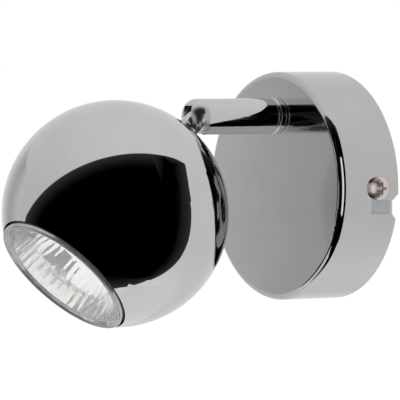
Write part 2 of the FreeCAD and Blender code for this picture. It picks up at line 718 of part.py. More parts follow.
def earth_screw():
    item = screw("earth_screw_diameter / 2", "screw_end_gap", "lug_top + washer_thickness",
                 "earth_head_diameter / 2", "earth_head_height")
    moved(item, "earth_x")
    return finish(group([item]), "earth_screw", MOUNT)


def earth_washer():
    item = ring("earth_head_diameter / 2", "earth_screw_diameter / 2 + screw_clearance", "lug_top",
                "lug_top + washer_thickness")
    moved(item, "earth_x")
    return finish(group([item]), "earth_washer", MOUNT)


def earth_lug():
    """A ring, a flat neck and a crimp barrel that holds the earth lead."""
    middle = "strap_thickness + lug_barrel_radius"
    plate = joined(rod("lug_diameter / 2", "strap_thickness", "lug_top"),
                   box(("-lug_barrel_radius", "lug_barrel_radius"), ("0", "lug_barrel_start + lug_lap"),
                       ("strap_thickness", "lug_top")),
                   cylinder("lug_barrel_radius", "lug_barrel_length", "0", "lug_barrel_start", middle, "y"))
    item = cut(plate, rod("earth_screw_diameter / 2 + screw_clearance", "strap_thickness", "lug_top"),
               cylinder("earth_lead_diameter / 2", "lug_barrel_length", "0", "lug_barrel_start", middle, "y"))
    moved(item, "earth_x")
    return finish(group([item]), "earth_lug", MOUNT)


def earth_lead():
    """From the first terminal up, over and down into the lug's barrel."""
    crest = "block_height / 2 + earth_loop_rise"
    middle = "strap_thickness + lug_barrel_radius"
    return finish(lead_along([(POLES[0], "lead_start", "bore_height"), (POLES[0], crest, "bore_height"),
                              ("earth_x", crest, middle), ("earth_x", "lug_barrel_start + lug_lap", middle)],
                             "earth_lead_diameter"), "earth_lead", MOUNT)


def canopy_lead(label, pole, side):
    """From its terminal up and forwards into the arm's nipple."""
    above = "block_height / 2 + lead_rise"
    x = f"{side}lead_offset"
    return finish(lead_along([(pole, "lead_start", "bore_height"), (pole, above, "bore_height"),
                              (x, "arm_height", "bore_height"), (x, "arm_height", "leads_meet")],
                             "lead_diameter"), label, MOUNT)


# --- the arm ---

def foot_ring():
    item = ring("arm_diameter / 2", "nipple_diameter / 2 + foot_ring_clearance", "canopy_depth", "arm_foot")
    edge = cone("arm_diameter / 2", "arm_diameter / 2 - foot_ring_chamfer",
                "arm_foot - foot_ring_chamfer", "arm_foot")
    body = rod("arm_diameter / 2", "canopy_depth", "arm_foot - foot_ring_chamfer")
    return finish(common(item, joined(body, edge)), "foot_ring", ARM)


def arm_tube():
    """A turned rod with a bore, a rounded nose and the slot in which the head tilts."""
    body = new_body("arm_tube")
    outer = "arm_diameter / 2"
    bore_end = "pivot_reach - arm_bore_end"
    slot_back = "pivot_reach - slot_radius / 2"
    profile = [("nipple_diameter / 2", "arm_foot"), (outer, "arm_foot"), (outer, "arm_tip"),
               ("0", "arm_tip"), ("0", slot_back), ("arm_lead_hole / 2", slot_back),
               ("arm_lead_hole / 2", bore_end), ("arm_bore / 2", bore_end), ("arm_bore / 2", "nipple_end"),
               ("nipple_diameter / 2", "nipple_end")]
    revolve(body, outline(sketch_on(body, "XZ_Plane"), profile))
    rounded(body, circle_at(outer, "arm_tip"), "nose_radius")
    rounded(body, circle_at(outer, "arm_foot"), "foot_ring_chamfer", "Chamfer")
    back_z = "pivot_reach - slot_radius * sin(tilt_lowest * 1 deg)"
    back_y = "-slot_radius * cos(tilt_lowest * 1 deg)"
    run = "arm_diameter"
    slot = [("slot_radius", "pivot_reach"), ("slot_radius", f"arm_tip + {run}"),
            (f"-{run}", f"arm_tip + {run}"),
            (f"{back_y} - {run} * sin(tilt_lowest * 1 deg)", f"{back_z} + {run} * cos(tilt_lowest * 1 deg)"),
            (back_y, back_z), ("0", "pivot_reach")]
    pocket(body, outline(sketch_on(body, "YZ_Plane"), slot), "slot_half * 2", both_sides=True)
    pocket(body, circle(sketch_on(body, "YZ_Plane"), "slot_radius", "0", "pivot_reach"), "slot_half * 2",
           both_sides=True)
    pocket(body, circle(sketch_on(body, "YZ_Plane"), "pivot_pin_diameter / 2", "0", "pivot_reach"),
           "arm_diameter", both_sides=True)
    return finish(body, "arm_tube", ARM)


def key_groove():
    """The groove along the nipple that the stop washer's tooth enters."""
    radius = "nipple_diameter / 2"
    return box(("-key_width / 2", "key_width / 2"), (f"{radius} - key_depth", f"{radius} + key_depth"),
               (f"nipple_start - {CUTTER_RUN}", "canopy_inner_face"))


def threaded_nipple():
    tube = ring("nipple_diameter / 2", "nipple_bore / 2", "nipple_start", "nipple_end")
    return finish(cut(tube, key_groove()), "threaded_nipple", ARM)


def nipple_bush():
    """A plastic bush that keeps the leads off the nipple's edge."""
    flange_radius = "nipple_diameter / 2"
    bore = "nipple_bore / 2 - bush_wall"
    body = joined(rod(flange_radius, "leads_meet", "nipple_start"),
                  rod("nipple_bore / 2", "leads_meet", "nipple_start + bush_depth"))
    return finish(cut(body, rod(bore, "leads_meet", "nipple_start + bush_depth")), "nipple_bush", ARM)


def swivel_friction_washer():
    item = ring("nipple_diameter / 2 + friction_washer_rim", "nipple_diameter / 2", "friction_back",
                "canopy_inner_face")
    return finish(item, "swivel_friction_washer", ARM)


def stop_washer():
    """A washer keyed to the nipple, with the tab that meets the stop peg."""
    radius = "nipple_diameter / 2"
    disc = rod(f"{radius} + stop_washer_rim", "stop_back", "friction_back")
    tab = box(("-stop_tab_width / 2", "stop_tab_width / 2"),
              (f"{radius} + stop_washer_rim / 2", f"{radius} + stop_washer_rim + stop_tab_reach"),
              ("stop_back", "friction_back"))
    tooth = box(("-key_width / 2", "key_width / 2"), (f"{radius} - key_depth", f"{radius} + {CUTTER_RUN}"),
                ("stop_back", "friction_back"))
    holed = cut(joined(disc, tab), rod(radius, "stop_back", "friction_back"))
    return finish(joined(holed, tooth), "stop_washer", ARM)


def swivel_spring_washer():
    """A split spring washer that keeps the swivel stiff."""
    item = ring("nipple_diameter / 2 + spring_washer_rim", "nipple_diameter / 2", "spring_back", "stop_back")
    split = box(("0", "nipple_diameter"), ("-spring_washer_split / 2", "spring_washer_split / 2"),
                ("spring_back", "stop_back"))
    return finish(cut(item, split), "swivel_spring_washer", ARM)


def nipple_nut():
    item = cut(hexagon("nipple_nut_flats", "nipple_nut_height", "nut_back"),
               rod("nipple_diameter / 2", "nut_back", "spring_back"))
    return finish(item, "nipple_nut", ARM)


def pivot_pins():
    """Two short pins pressed in the nose, their outer ends finished flush with the arm."""
    pins = []
    for along, sign in (("x", ""), ("-x", "-")):
        blank = cylinder("pivot_pin_diameter / 2", "(arm_diameter - tongue_gap) / 2",
                         f"{sign}(tongue_gap / 2)", "0", "pivot_reach", along)
        pins.append(common(blank, rod("arm_diameter / 2", "pivot_reach - arm_diameter",
                                      "pivot_reach + arm_diameter")))
    return finish(group(pins), "pivot_pins", ARM)


def pivot_washers():
    """Thin washers between the tongue and the slot's walls that hold the tilt by friction."""
    washers = []
    for along, sign in (("x", ""), ("-x", "-")):
        place = (f"{sign}(tongue_thickness / 2)", "0", "pivot_reach", along)
        washers.append(cut(cylinder("pivot_washer_diameter / 2", "slot_side_gap", *place),
                           cylinder("pivot_pin_diameter / 2", "slot_side_gap", *place)))
    return finish(group(washers), "pivot_washers", ARM)


def lead_sleeve():
    item = ring("sleeve_diameter / 2", "sleeve_diameter / 2 - sleeve_wall", "nipple_start + bush_depth",
                "pivot_reach - arm_bore_end")
    return finish(item, "lead_sleeve", ARM)


def arm_lead(label, side):
    """Straight through the arm, with a ball end on the pivot axis."""
    x = f"{side}lead_offset"
    radius = "lead_diameter / 2"
    item = joined(rod(radius, "leads_meet", "pivot_reach", x), sphere(radius, x, "0", "pivot_reach"))
    return finish(item, label, ARM)


# --- the head ---

def tilt_stem():
    """A turned stem: forked tongue in the arm's slot, collar on the ball, threaded end inside."""
    half = "tongue_thickness / 2"
    rounded_end = joined(cylinder("tongue_radius", "tongue_thickness", f"-{half}", "0", "0", "x"),
                         box((f"-{half}", half), ("-tongue_radius", "tongue_radius"), ("0", "collar_start")))
    tongue = common(rod("tongue_radius", "-tongue_radius", "collar_start"), rounded_end)
    collar = cut(rod("collar_diameter / 2", "collar_start", "stem_gap + collar_diameter / 4"),
                 sphere("ball_radius", z="ball_centre"))
    shank = rod("stem_thread / 2", "collar_start", "stem_end")
    gap = "tongue_gap / 2"
    slot = box((f"-{gap}", gap), ("-tongue_width", gap), ("-tongue_width", "tongue_radius / 2"))
    bore = rod(gap, "-tongue_width", "stem_end")
    hole = cylinder("pivot_pin_diameter / 2 + pivot_clearance", "tongue_thickness", f"-{half}", "0", "0", "x")
    return finish(cut(joined(tongue, collar, shank), slot, bore, hole), "tilt_stem", HEAD)


def ball_shell():
    """A spun sphere with a round lamp opening and a small hole for the stem."""
    shell = cut(sphere("ball_radius", z="ball_centre"), sphere("ball_inner_radius", z="ball_centre"))
    opening = rod("opening_radius", "ball_centre", "ball_centre + ball_diameter")
    hole = rod("stem_thread / 2 + stem_hole_clearance", "0", "ball_centre")
    return finish(cut(shell, opening, hole), "ball_shell", HEAD)


def seat_washer():
    """A washer domed to the inside of the ball, flat towards the bracket."""
    blank = rod("seat_washer_diameter / 2", "stem_gap", "seat_flat")
    domed = common(blank, sphere("ball_inner_radius", z="ball_centre"))
    hole = rod("stem_thread / 2 + stem_hole_clearance", "stem_gap", "seat_flat")
    return finish(cut(domed, hole), "seat_washer", HEAD)


def holder_bracket():
    """A hat-shaped strip between the stem's nut and the back of the lamp holder."""
    body = new_body("holder_bracket")
    span = "bracket_half_span"
    sheet_in = "bracket_half_span - bracket_thickness"
    reach = "holder_screw_x + bracket_edge"
    under = "holder_back - bracket_thickness"
    over = "seat_flat + bracket_thickness"
    profile = [(f"-{span}", "seat_flat"), (span, "seat_flat"), (span, under), (reach, under),
               (reach, "holder_back"), (sheet_in, "holder_back"), (sheet_in, over), (f"-({sheet_in})", over),
               (f"-({sheet_in})", "holder_back"), (f"-({reach})", "holder_back"), (f"-({reach})", under),
               (f"-{span}", under)]
    pad(body, outline(sketch_on(body, "XZ_Plane"), profile), "bracket_width", both_sides=True)
    pocket(body, circle(sketch_on(body, "XY_Plane"), "stem_thread / 2 + stem_hole_clearance"), over)
    for side in ("", "-"):
        pocket(body, circle(sketch_on(body, "XY_Plane"), "holder_screw_diameter / 2",
                            f"{side}holder_screw_x"), "holder_back")
    return finish(body, "holder_bracket", HEAD)


def stem_nut():
    item = cut(hexagon("stem_nut_flats", "stem_nut_height", "stem_nut_start"),
               rod("stem_thread / 2", "stem_nut_start", "stem_nut_start + stem_nut_height"))
    return finish(item, "stem_nut", HEAD)


def keyway(turn, pin_radius, low, high):
    """The path of one lamp pin in the holder: its entry, its arc and its locked place."""
    outer = cylinder(f"pin_x + {pin_radius}", f"({high}) - ({low})", z=low)
    inner = cylinder(f"pin_x - ({pin_radius})", f"({high}) - ({low})", z=low)
    for piece in (outer, inner):
        bind(piece, Angle="lamp_turn")
        piece.Placement = FreeCAD.Placement(Vector(), FreeCAD.Rotation(Vector(0, 0, 1), turn))
        bind(piece, Placement_Base_z=low)
    flip = "-" if turn else ""
    locked = rod(pin_radius, low, high, f"{flip}pin_x")
    entry = rod(pin_radius, low, high, f"{flip}pin_x * cos(lamp_turn * 1 deg)",
                f"{flip}pin_x * sin(lamp_turn * 1 deg)")
    return [cut(outer, inner), locked, entry]


def lamp_holder():
    """A ceramic block with two twist-lock keyways, lead holes and countersunk screw holes."""
    half = "holder_length / 2"
    side = "holder_width / 2"
    corner = "holder_corner_radius"
    slab = joined(box((f"-({half} - {corner})", f"{half} - {corner}"), (f"-({side})", side),
                      ("holder_back", "lamp_foot")),
                  box((f"-({half})", half), (f"-({side} - {corner})", f"{side} - {corner}"),
                      ("holder_back", "lamp_foot")),
                  *[rod(corner, "holder_back", "lamp_foot", f"{right}({half} - {corner})",
                        f"{up}({side} - {corner})") for right in ("", "-") for up in ("", "-")])
    tools = []
    neck = "pin_neck / 2 + pin_clearance"
    head = "pin_head / 2 + pin_clearance"
    for turn in (0, 180):
        flip = "-" if turn else ""
        tools += keyway(turn, neck, "chamber_floor", "lamp_foot")
        tools += keyway(turn, head, "chamber_floor", "lamp_foot - holder_face_land")
        tools.append(rod(head, "chamber_floor", "lamp_foot", f"{flip}pin_x * cos(lamp_turn * 1 deg)",
                         f"{flip}pin_x * sin(lamp_turn * 1 deg)"))
        tools.append(rod("lead_diameter / 2", "holder_back", "chamber_floor", f"{flip}pin_x"))
        screw_x = f"{flip}holder_screw_x"
        tools.append(rod("holder_screw_diameter / 2 + screw_clearance", "holder_back", "lamp_foot", screw_x))
        tools.append(rod("holder_head_diameter / 2 + holder_head_gap", "holder_seat", "lamp_foot", screw_x))
    return finish(cut(slab, *tools), "lamp_holder", HEAD)


def holder_contacts():
    contacts = [rod("contact_diameter / 2", "chamber_floor", "chamber_floor + contact_thickness", x)
                for x in ("pin_x", "-pin_x")]
    return finish(group(contacts), "holder_contacts", HEAD)


def holder_screws():
    screws = []
    for side in ("", "-"):
        item = screw("holder_screw_diameter / 2", "holder_back - bracket_thickness - holder_screw_tail",
                     "holder_seat", "holder_head_diameter / 2", "holder_head_height")
        screws.append(moved(item, f"{side}holder_screw_x"))
    return finish(group(screws), "holder_screws", HEAD)


def head_lead(label, side):
    """Up the stem's bore, out to one side and into the back of the holder."""
    x = f"{side}lead_offset"
    back = "holder_back - lead_diameter"
    turn = f"(stem_end + {back}) / 2"
    run = lead_along([(x, "0", "0"), (x, "0", turn), (f"{side}pin_x", "0", back),
                      (f"{side}pin_x", "0", "chamber_floor")], "lead_diameter")
    return finish(cut(run, sphere("lead_stop", x)), label, HEAD)


def lamp_reflector():
    """The lamp's pressed glass body: rim, bowl and neck around the mirrored cavity."""
    body = joined(rod("lamp_diameter / 2", "rim_back", "lamp_face"),
                  half_ellipsoid("bowl_depth", "bowl_diameter / 2", "rim_back"),
                  rod("reflector_neck / 2", "neck_back", "rim_back - bowl_depth / 2"))
    seat = rod("front_glass_diameter / 2 + glass_fit", "glass_back", "lamp_face")
    cavity = half_ellipsoid("cavity_depth", "cavity_diameter / 2", "glass_back")
    neck_hole = rod("burner_diameter / 2", "neck_back", "glass_back")
    return finish(cut(body, seat, cavity, neck_hole), "lamp_reflector", HEAD)


def lamp_front_glass():
    disc = rod("front_glass_diameter / 2", "glass_back", "glass_back + front_glass_thickness")
    return finish(group([disc]), "lamp_front_glass", HEAD)


def lamp_base():
    """The lamp's ceramic base, cemented round the neck."""
    body = cone("base_foot_diameter / 2", "base_top_diameter / 2", "lamp_foot", "base_top")
    bowl = half_ellipsoid("bowl_depth", "bowl_diameter / 2", "rim_back")
    neck = rod("reflector_neck / 2", "neck_back", "base_top")
    return finish(cut(body, bowl, neck), "lamp_base", HEAD)


def lamp_pins():
    pins = []
    tip = "lamp_foot - pin_length"
    for x in ("pin_x", "-pin_x"):
        pins.append(joined(rod("pin_head / 2", tip, f"{tip} + pin_head_height", x),
                           rod("pin_neck / 2", tip, "lamp_foot", x)))
    return finish(group(pins), "lamp_pins", HEAD)


def lamp_burner():
    """A quartz capsule cemented in the neck, with a round end."""
    radius = "burner_diameter / 2"
    top = f"bowl_back + burner_length - {radius}"
    item = joined(rod(radius, "neck_back", top), sphere(radius, z=top))
    return finish(item, "lamp_burner", HEAD)


wall_bracket()
canopy()
canopy_screws()
stop_peg()
terminal_block()
terminal_clamps()
terminal_screws()
block_screw()
earth_screw()
earth_washer()
earth_lug()
earth_lead()
canopy_lead("neutral_lead_canopy", POLES[1], "-")
canopy_lead("live_lead_canopy", POLES[2], "")
foot_ring()
arm_tube()
threaded_nipple()
nipple_bush()
swivel_friction_washer()
stop_washer()
swivel_spring_washer()
nipple_nut()
pivot_pins()
pivot_washers()
lead_sleeve()
arm_lead("neutral_lead_arm", "-")
arm_lead("live_lead_arm", "")
tilt_stem()
ball_shell()
seat_washer()
holder_bracket()
stem_nut()
lamp_holder()
holder_contacts()
holder_screws()
head_lead("neutral_lead_head", "-")
head_lead("live_lead_head", "")
lamp_reflector()
lamp_front_glass()
lamp_base()
lamp_pins()
lamp_burner()

doc.recompute()

for item in doc.Objects:
    if "Invalid" in item.State or "Error" in item.State:
        raise RuntimeError(f"{item.Name} ({item.Label}) failed: {item.State}")
for item in PARTS:
    if item.Shape.isNull() or not item.Shape.isValid() or not item.Shape.Solids:
        raise RuntimeError(f"{item.Label} has no sound shape")

os.makedirs("parts", exist_ok=True)
for item in PARTS:
    item.Shape.exportStep(f"parts/{item.Label}.step")
    print(item.Label, len(item.Shape.Solids), round(item.Shape.Volume, 2))
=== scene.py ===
import math
import bmesh
import bpy
from mathutils import Matrix, Vector


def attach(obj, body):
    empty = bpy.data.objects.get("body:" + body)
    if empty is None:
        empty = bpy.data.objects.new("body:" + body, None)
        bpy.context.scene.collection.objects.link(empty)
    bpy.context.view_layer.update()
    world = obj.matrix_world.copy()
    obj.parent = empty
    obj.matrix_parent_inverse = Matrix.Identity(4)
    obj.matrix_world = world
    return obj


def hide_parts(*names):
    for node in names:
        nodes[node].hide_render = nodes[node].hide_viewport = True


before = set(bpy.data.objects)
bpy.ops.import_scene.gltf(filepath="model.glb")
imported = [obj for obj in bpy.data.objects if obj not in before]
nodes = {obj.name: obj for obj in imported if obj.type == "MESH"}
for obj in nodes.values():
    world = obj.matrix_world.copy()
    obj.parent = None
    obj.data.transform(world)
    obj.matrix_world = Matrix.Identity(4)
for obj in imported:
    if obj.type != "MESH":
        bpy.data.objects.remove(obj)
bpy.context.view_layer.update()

bpy.context.scene.view_settings.view_transform = "Standard"

layout = {
    # the part's own sizes, in metres and degrees
    "armAxisHeight": 0.0246,
    "pivotReach": 0.057,
    "tiltAtRest": 44.1,
    "stemGap": 0.0082,
    "ballRadius": 0.039,
    "ballMouth": 0.026,
    "lampProud": 0.0013,  # how far the lamp's face stands out of the ball's mouth
}


def headMatrix(s):
    # local z runs from the tilt axis to the lamp
    turn = Matrix.Rotation(math.radians(90 + s["tiltAtRest"]), 4, "X")
    return Matrix.Translation((0, -s["pivotReach"], s["armAxisHeight"])) @ turn


def lampHeight(s):
    mouth = math.sqrt(s["ballRadius"] ** 2 - s["ballMouth"] ** 2)
    return s["stemGap"] + s["ballRadius"] + mouth + s["lampProud"]


headPlace = headMatrix(layout)
lampFace = lampHeight(layout)

photoView = {
    "azimuth": 55.88,
    "elevation": 2.13,
    "distance": 1.6,
    "aim": (0.0, -0.060, 0.0),
    "aimRight": 0.0034,
    "aimUp": -0.00418,
    "lens": 415.8,
    "sensor": 36.0,
    "clipStart": 0.05,
}


def viewAxes(azimuth, elevation):
    a, e = math.radians(azimuth), math.radians(elevation)
    right = Vector((math.cos(a), math.sin(a), 0))
    back = Vector((math.sin(a) * math.cos(e), -math.cos(a) * math.cos(e), math.sin(e)))
    return right, back.cross(right), back


def makeCamera(view):
    right, up, back = viewAxes(view["azimuth"], view["elevation"])
    place = Vector(view["aim"]) + view["aimRight"] * right + view["aimUp"] * up + view["distance"] * back
    data = bpy.data.cameras.new("photoCamera")
    data.lens = view["lens"]
    data.sensor_width = view["sensor"]
    data.sensor_height = view["sensor"]
    data.clip_start = view["clipStart"]
    camera = bpy.data.objects.new("photoCamera", data)
    camera.matrix_world = Matrix((right, up, back)).transposed().to_4x4()
    camera.location = place
    bpy.context.scene.collection.objects.link(camera)
    bpy.context.scene.camera = camera


makeCamera(photoView)
print("camera placed")


def addNode(tree, kind, inputs=(), **settings):
    node = tree.nodes.new(kind)
    for name, setting in settings.items():
        setattr(node, name, setting)
    for socket, source in dict(inputs).items():
        target = node.inputs[socket]
        if isinstance(source, bpy.types.NodeSocket):
            tree.links.new(source, target)
        else:
            target.default_value = source
    return node


def calc(tree, operation, a, b=None, c=None):
    inputs = {0: a}
    if b is not None:
        inputs[1] = b
    if c is not None:
        inputs[2] = c
    return addNode(tree, "ShaderNodeMath", inputs, operation=operation).outputs[0]


def remap(tree, source, low, high, toLow, toHigh, smooth=False):
    node = addNode(tree, "ShaderNodeMapRange", {0: source, 1: low, 2: high, 3: toLow, 4: toHigh})
    if smooth:
        node.interpolation_type = "SMOOTHSTEP"
    return node.outputs[0]


def blend(tree, share, low, high):
    return addNode(tree, "ShaderNodeMix", {0: share, 2: low, 3: high}).outputs[0]


def blendColour(tree, share, low, high):
    return addNode(tree, "ShaderNodeMix", {0: share, 6: low, 7: high}, data_type="RGBA").outputs[2]


studio = {
    "lightTent": 0.82,  # the tent's glow as metal sees it, and how it changes across
    "tentRight": 0.05,
    "tentUp": 0.02,
    "tentEnds": 0.10,
    "tentBelow": 0.14,
    "belowFrom": -0.5,
    "belowTo": -0.95,
    "openingTop": ((-0.233, 0.709, -0.665), 0.331),  # edges of the dark opening, each by right, up and back
    "openingSide": ((0.033, -0.184, -0.982), -0.021),
    "openingWall": ((0.828, 0.0, -0.561), 0.5),
    "openingLeft": ((0.25, -0.30, -0.92), 0.06),
    "openingRim": 0.050,
    "openingFade": 0.30,
    "openingEdge": 0.006,
    "throughGlass": 0.9,
    "glassLevel": 1.16,
    "roomLight": 0.80,
    "floorDrop": 0.11,
    "floorSize": 30.0,
    "floorWhite": 0.8,
    "floorGlow": 1.08,
    "floorGrey": 0.86,
    "lampTarget": (0, -0.06, 0),
    "lampSize": 0.9,
    "lamps": {
        "keyLamp": {"place": (0.6, -1.0, 1.3), "power": 9.0},
        "fillLamp": {"place": (-1.2, -0.6, 0.5), "power": 4.0},
    },
}


def makeWorld(s):
    world = bpy.data.worlds.new("lightTent")
    bpy.context.scene.world = world
    world.use_nodes = True
    tree = world.node_tree
    tree.nodes.clear()
    ray = addNode(tree, "ShaderNodeTexCoord").outputs["Generated"]
    right, up, back = viewAxes(photoView["azimuth"], 0)

    def along(axis):
        return addNode(tree, "ShaderNodeVectorMath", {0: ray, 1: axis}, operation="DOT_PRODUCT").outputs["Value"]

    def inside(opening):
        (r, u, b), offset = opening
        axis = r * right + u * up + b * back
        return calc(tree, "SUBTRACT", offset, along(axis))

    side = along(right)
    height = along(up)
    glow = calc(tree, "MULTIPLY_ADD", side, s["tentRight"], s["lightTent"])
    glow = calc(tree, "MULTIPLY_ADD", height, s["tentUp"], glow)
    glow = calc(tree, "MULTIPLY_ADD", calc(tree, "MULTIPLY", height, height), s["tentEnds"], glow)
    below = remap(tree, height, s["belowFrom"], s["belowTo"], 0.0, s["tentBelow"], smooth=True)
    glow = calc(tree, "ADD", glow, below)
    depth = calc(tree, "MAXIMUM", inside(s["openingSide"]), inside(s["openingLeft"]))
    depth = calc(tree, "MINIMUM", depth, inside(s["openingTop"]))
    dark = remap(tree, depth, 0.0, s["openingFade"], 1.0, 0.0)
    dark = calc(tree, "MULTIPLY", calc(tree, "MULTIPLY", dark, dark), s["openingRim"])
    depth = calc(tree, "MINIMUM", depth, inside(s["openingWall"]))
    isOpening = remap(tree, depth, -s["openingEdge"], s["openingEdge"], 0.0, 1.0, smooth=True)
    tent = blend(tree, isOpening, glow, dark)
    path = addNode(tree, "ShaderNodeLightPath").outputs
    seenInGlass = blend(tree, s["throughGlass"], tent, s["glassLevel"])
    level = blend(tree, path["Is Glossy Ray"], s["roomLight"], tent)
    level = blend(tree, path["Is Transmission Ray"], level, seenInGlass)
    level = blend(tree, path["Is Camera Ray"], level, 1.0)
    glowing = addNode(tree, "ShaderNodeBackground", {0: (1, 1, 1, 1), 1: level})
    addNode(tree, "ShaderNodeOutputWorld", {0: glowing.outputs[0]})


def makeFloor(s):
    mesh = bpy.data.meshes.new("floor")
    h = s["floorSize"] / 2
    z = -s["floorDrop"]
    mesh.from_pydata([(-h, -h, z), (h, -h, z), (h, h, z), (-h, h, z)], [], [(0, 1, 2, 3)])
    floor = bpy.data.objects.new("floor", mesh)
    bpy.context.scene.collection.objects.link(floor)
    material = bpy.data.materials.new("floorPaper")
    material.use_nodes = True
    tree = material.node_tree
    tree.nodes.clear()
    grey = s["floorGrey"]
    paper = addNode(tree, "ShaderNodeBsdfDiffuse", {"Color": (grey, grey, grey, 1)})
    white = addNode(tree, "ShaderNodeEmission", {"Color": (1, 1, 1, 1), "Strength": s["floorGlow"]})
    path = addNode(tree, "ShaderNodeLightPath").outputs
    seen = calc(tree, "MAXIMUM", path["Is Camera Ray"], path["Is Glossy Ray"])
    seen = calc(tree, "MAXIMUM", seen, path["Is Transmission Ray"])
    share = calc(tree, "MULTIPLY", seen, s["floorWhite"])
    both = addNode(tree, "ShaderNodeMixShader", {0: share, 1: paper.outputs[0], 2: white.outputs[0]})
    addNode(tree, "ShaderNodeOutputMaterial", {0: both.outputs[0]})
    mesh.materials.append(material)
    floor.visible_glossy = False


flags = {
    # each card's fixed axis and place along it, its outline in mm and its glow
    "ballFlag": {
        # black, with a soft rim that glows a little at the named points
        "axis": "X", "at": 0.050, "level": 0.0,
        "outline": [(-49, 37.5), (-56, 28.5), (-62.8, 20), (-68.5, 10), (-71.2, 1), (-72.2, -7), (-72, -14),
                    (-71.4, -22), (-71.4, -29), (-72, -38), (-74.4, -46), (-78.5, -56), (-85, -68),
                    (-116, -74), (-100, -30), (-92, 10), (-88, 44), (-73, 42.6), (-64, 41.2), (-57, 39.6)],
        "rim": 0.045, "rimWidth": 13.0,
        "rimPoints": (*range(13), *range(16, 20)),
        "tightCorner": {18: (-73.2, 29.9), 19: (-72.4, 29.9), 0: (-71.9, 29.7), 1: (-72.2, 29.0)},
    },
    "lampFlag": {
        "axis": "X", "at": 0.060, "level": 0.07, "throughGlass": True,
        "outline": [(-190, -70), (-176, -106), (-135, -108), (-92, -84), (-98, -53), (-128, -53), (-168, -40)],
    },
    "lampFlagLow": {
        "axis": "X", "at": 0.060, "level": 0.30, "throughGlass": True,
        "outline": [(-168, -40), (-128, -53), (-128, -28), (-152, -20), (-156, 6), (-176, 4)],
    },
    "lampFlagLeft": {
        "axis": "X", "at": -0.060, "level": 0.40, "throughGlass": True,
        "outline": [(-162, -46), (-98, -46), (-98, -2), (-162, -2)],
    },
    "rightCard": {
        "axis": "X", "at": 0.100, "level": 0.87,
        "outline": [(-72, -40), (-62, -40), (-62, 44), (-72, 44)],
    },
    "lowCard": {
        "axis": "Z", "at": -0.075, "level": 0.98,
        "outline": [(-70, -104), (44, -104), (44, -58), (-70, -58)],
    },
    "rightStrip": {
        "axis": "X", "at": 0.100, "level": 1.35,
        "outline": [(-62, -40), (-28, -40), (-28, 44), (-62, 44)],
    },
    "screwCard": {
        "axis": "Y", "at": -0.019, "level": 0.92, "oneSided": True,
        "outline": [(60, 18), (130, 34), (130, -34), (60, -18)],
    },
}


def asStudioCard(name, points, faces, levels, throughGlass=False, oneSided=False):
    # seen by metal alone, or only through the lamp's glass, and casts nothing
    # a one-sided card is clear from behind
    mesh = bpy.data.meshes.new(name)
    mesh.from_pydata(points, [], faces)
    mesh.attributes.new("glow", "FLOAT", "POINT").data.foreach_set("value", levels)
    card = bpy.data.objects.new(name, mesh)
    bpy.context.scene.collection.objects.link(card)
    material = bpy.data.materials.new(name)
    material.use_nodes = True
    tree = material.node_tree
    tree.nodes.clear()
    level = addNode(tree, "ShaderNodeAttribute", attribute_name="glow").outputs["Fac"]
    glowing = addNode(tree, "ShaderNodeEmission", {"Color": (1, 1, 1, 1), "Strength": level})
    surface = glowing.outputs[0]
    if oneSided:
        behind = addNode(tree, "ShaderNodeNewGeometry").outputs["Backfacing"]
        clear = addNode(tree, "ShaderNodeBsdfTransparent").outputs[0]
        surface = addNode(tree, "ShaderNodeMixShader", {0: behind, 1: surface, 2: clear}).outputs[0]
    addNode(tree, "ShaderNodeOutputMaterial", {0: surface})
    mesh.materials.append(material)
    card.visible_camera = False
    card.visible_diffuse = False
    card.visible_glossy = not throughGlass
    card.visible_transmission = throughGlass
    card.visible_shadow = False


def inset(outline, width):
    # each corner moved inwards by width, for an outline that runs clockwise
    moved = []
    for step, here in enumerate(outline):
        before, after = Vector(outline[step - 1]), Vector(outline[(step + 1) % len(outline)])
        along = (after - before).normalized()
        moved.append((here[0] + width * along.y, here[1] - width * along.x))
    return moved


def makeFlag(name, f):
    mmPerMetre = 1000
    outline = f["outline"]
    count = len(outline)
    faces = [tuple(range(count))]
    levels = [f["level"]] * count
    if "rim" in f:
        inner = inset(outline, f["rimWidth"])
        for step, place in f["tightCorner"].items():
            inner[step] = place
        outline = outline + inner
        faces = [tuple(range(count, 2 * count))]
        faces += [(step - 1, step, count + step, count + step - 1) for step in range(1, count)]
        faces += [(count - 1, 0, count, 2 * count - 1)]
        levels = [f["rim"] if step in f["rimPoints"] else f["level"] for step in range(count)] + levels
    points = [[a / mmPerMetre, b / mmPerMetre] for a, b in outline]
    for point in points:
        point.insert("XYZ".index(f["axis"]), f["at"])
    asStudioCard(name, points, faces, levels, f.get("throughGlass", False), f.get("oneSided", False))


leftCard = {
    # a graded card to the left, for the canopy's front: its place, its height and its glow along Y
    "at": -0.160,
    "height": (-0.075, 0.075),
    "levels": [(-0.230, 0.82), (-0.176, 0.60), (-0.160, 0.56), (-0.140, 0.62), (-0.120, 0.70), (-0.106, 0.79),
               (-0.085, 0.83)],
}


def makeLeftCard(c):
    points, faces, levels = [], [], []
    for y, level in c["levels"]:
        points += [(c["at"], y, z) for z in c["height"]]
        levels += [level, level]
        last = len(points) - 1
        if last > 1:
            faces.append((last, last - 1, last - 3, last - 2))
    asStudioCard("leftCard", points, faces, levels)


def softLamp(name, place, target, size, power):
    data = bpy.data.lights.new(name, "AREA")
    data.shape = "DISK"
    data.size = size
    data.energy = power
    lamp = bpy.data.objects.new(name, data)
    lamp.location = place
    lamp.rotation_euler = (Vector(target) - Vector(place)).to_track_quat("-Z", "Y").to_euler()
    lamp.visible_glossy = False
    lamp.visible_transmission = False
    bpy.context.scene.collection.objects.link(lamp)


makeWorld(studio)
makeFloor(studio)
for name, settings in flags.items():
    makeFlag(name, settings)
makeLeftCard(leftCard)
for name, lamp in studio["lamps"].items():
    softLamp(name, lamp["place"], studio["lampTarget"], studio["lampSize"], lamp["power"])
print("studio lit")


